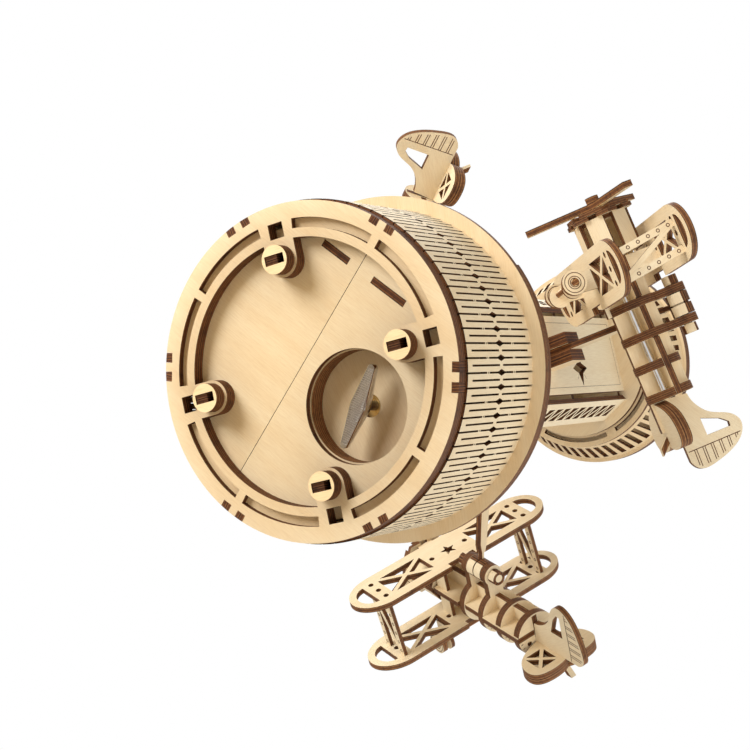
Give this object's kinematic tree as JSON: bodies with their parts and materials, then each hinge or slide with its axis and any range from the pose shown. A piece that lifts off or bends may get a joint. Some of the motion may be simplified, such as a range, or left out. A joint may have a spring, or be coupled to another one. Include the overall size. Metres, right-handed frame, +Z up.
{
  "type": "disc music box",
  "caption": "Laser-cut plywood carousel music box: round drum with a winding key underneath, and a turning tower that carries biplanes on arms.",
  "frame": {"origin": "on the drum's axis, in the plane that the four feet stand on", "axes": "+Z up along the carousel's axis; the winding key is at 33 degrees from +X towards +Y"},
  "size_m": [0.1902, 0.2047, 0.2496],
  "materials": {
    "birch_ply": "bare birch plywood with dark laser-cut edges",
    "dark_ply": "plywood seen on its burnt laser-cut edges",
    "chrome": "polished, with fine ridges on the key",
    "steel": "ground steel",
    "brass": "turned brass",
    "cast_block": "grey cast block"
  },
  "bodies": {
    "base": {"base_ring_lower": "birch_ply", "base_ring_upper": "birch_ply", "feet": "birch_ply", "drum_ribs": "birch_ply", "base_panels": "birch_ply", "inner_wall": "birch_ply", "tray_supports": "birch_ply", "movement_tray": "birch_ply", "skirt": "birch_ply", "flange_plate": "birch_ply", "axle_bush": "birch_ply", "movement_bedplate": "brass", "movement_bridge": "brass", "movement_pillars": "brass", "comb": "steel", "comb_block": "cast_block", "movement_screws": "steel"},
    "governor_wheel": {"governor_wheel": "brass"},
    "governor_fly": {"governor_fly": "brass"},
    "barrel": {"spring_barrel": "brass", "mainspring": "steel"},
    "key": {"winding_key": "chrome", "key_arbor": "steel"},
    "carousel": {"carousel_axle": "steel", "drive_gear": "brass", "tune_disc": "brass", "turntable": "birch_ply", "tower_panels": "birch_ply", "tower_lattices": "birch_ply", "tower_frames": "birch_ply", "cab_floor": "birch_ply", "cab_rings": "birch_ply", "cab_wall": "birch_ply", "roof": "birch_ply", "arms": "dark_ply", "arm_brackets": "dark_ply"},
    "pivot_a": {"pivot_block_a": "dark_ply"},
    "plane_a": {"wings_a": "birch_ply", "struts_a": "birch_ply", "fuselage_a": "birch_ply", "tail_a": "birch_ply", "rod_a": "chrome"},
    "propeller_a": {"propeller_a": "birch_ply"},
    "wheels_a": {"wheels_a": "birch_ply"},
    "pivot_b": {"pivot_block_b": "dark_ply"},
    "plane_b": {"wings_b": "birch_ply", "struts_b": "birch_ply", "fuselage_b": "birch_ply", "tail_b": "birch_ply", "rod_b": "chrome"},
    "propeller_b": {"propeller_b": "birch_ply"},
    "wheels_b": {"wheels_b": "birch_ply"},
    "pivot_c": {"pivot_block_c": "dark_ply"},
    "plane_c": {"wings_c": "birch_ply", "struts_c": "birch_ply", "fuselage_c": "birch_ply", "tail_c": "birch_ply", "rod_c": "chrome"},
    "propeller_c": {"propeller_c": "birch_ply"},
    "wheels_c": {"wheels_c": "birch_ply"}
  },
  "joints": [
    {"name": "carousel_spin", "type": "hinge", "parent": "base", "child": "carousel", "pos_m": [0, 0, 0.058], "axis": [0, 0, 1], "continuous": true},
    {"name": "key_wind", "type": "hinge", "parent": "base", "child": "key", "pos_m": [0.01543, 0.01002, 0.012], "axis": [0, 0, 1], "continuous": true},
    {"name": "barrel_spin", "type": "hinge", "parent": "base", "child": "barrel", "pos_m": [0.01543, 0.01002, 0.03], "axis": [0, 0, 1], "continuous": true},
    {"name": "governor_wheel_spin", "type": "hinge", "parent": "base", "child": "governor_wheel", "pos_m": [-0.00741, 0.01141, 0.03], "axis": [0, 0, 1], "continuous": true},
    {"name": "governor_fly_spin", "type": "hinge", "parent": "base", "child": "governor_fly", "pos_m": [-0.01839, 0.01083, 0.028], "axis": [0, 0, 1], "continuous": true},
    {"name": "rock_a", "type": "hinge", "parent": "carousel", "child": "pivot_a", "pos_m": [0.07113, -0.02422, 0.1392], "axis": [0.9373, -0.3486, 0], "range_deg": [-20, 20]},
    {"name": "bank_a", "type": "hinge", "parent": "pivot_a", "child": "plane_a", "pos_m": [0.07113, -0.02422, 0.1392], "axis": [-0.3949, -0.9117, -0.1136], "range_deg": [0, 250]},
    {"name": "propeller_spin_a", "type": "hinge", "parent": "plane_a", "child": "propeller_a", "pos_m": [0.04392, -0.0573, 0.12604], "axis": [-0.3949, -0.9117, -0.1136], "continuous": true},
    {"name": "wheels_spin_a", "type": "hinge", "parent": "plane_a", "child": "wheels_a", "pos_m": [0.03718, -0.02836, 0.11612], "axis": [0.5684, -0.1453, -0.8099], "continuous": true},
    {"name": "rock_b", "type": "hinge", "parent": "carousel", "child": "pivot_b", "pos_m": [-0.00394, 0.07578, 0.1392], "axis": [0.0401, 0.9992, 0], "range_deg": [-50, 2]},
    {"name": "bank_b", "type": "hinge", "parent": "pivot_b", "child": "plane_b", "pos_m": [-0.00394, 0.07578, 0.1392], "axis": [-0.8799, -0.2367, 0.412], "range_deg": [-45, 105]},
    {"name": "propeller_spin_b", "type": "hinge", "parent": "plane_b", "child": "propeller_b", "pos_m": [-0.04143, 0.07849, 0.16359], "axis": [-0.8799, -0.2367, 0.412], "continuous": true},
    {"name": "wheels_spin_b", "type": "hinge", "parent": "plane_b", "child": "wheels_b", "pos_m": [-0.02182, 0.1029, 0.16464], "axis": [-0.475, 0.4147, -0.7762], "continuous": true},
    {"name": "rock_c", "type": "hinge", "parent": "carousel", "child": "pivot_c", "pos_m": [-0.06023, -0.04552, 0.1392], "axis": [-0.8329, -0.5534, 0], "range_deg": [-14, 38]},
    {"name": "bank_c", "type": "hinge", "parent": "pivot_c", "child": "plane_c", "pos_m": [-0.06023, -0.04552, 0.1392], "axis": [-0.548, 0.8103, 0.2077], "range_deg": [-250, 2]},
    {"name": "propeller_spin_c", "type": "hinge", "parent": "plane_c", "child": "propeller_c", "pos_m": [-0.07402, -0.00742, 0.15835], "axis": [-0.548, 0.8103, 0.2077], "continuous": true},
    {"name": "wheels_spin_c", "type": "hinge", "parent": "plane_c", "child": "wheels_c", "pos_m": [-0.04749, -0.02013, 0.16913], "axis": [0.5242, 0.5262, -0.6696], "continuous": true}
  ],
  "couplings": [
    {"joint": "barrel_spin", "follows": "carousel_spin", "ratio": -0.91667},
    {"joint": "governor_wheel_spin", "follows": "carousel_spin", "ratio": -1.8333},
    {"joint": "governor_fly_spin", "follows": "carousel_spin", "ratio": 4.8889}
  ]
}
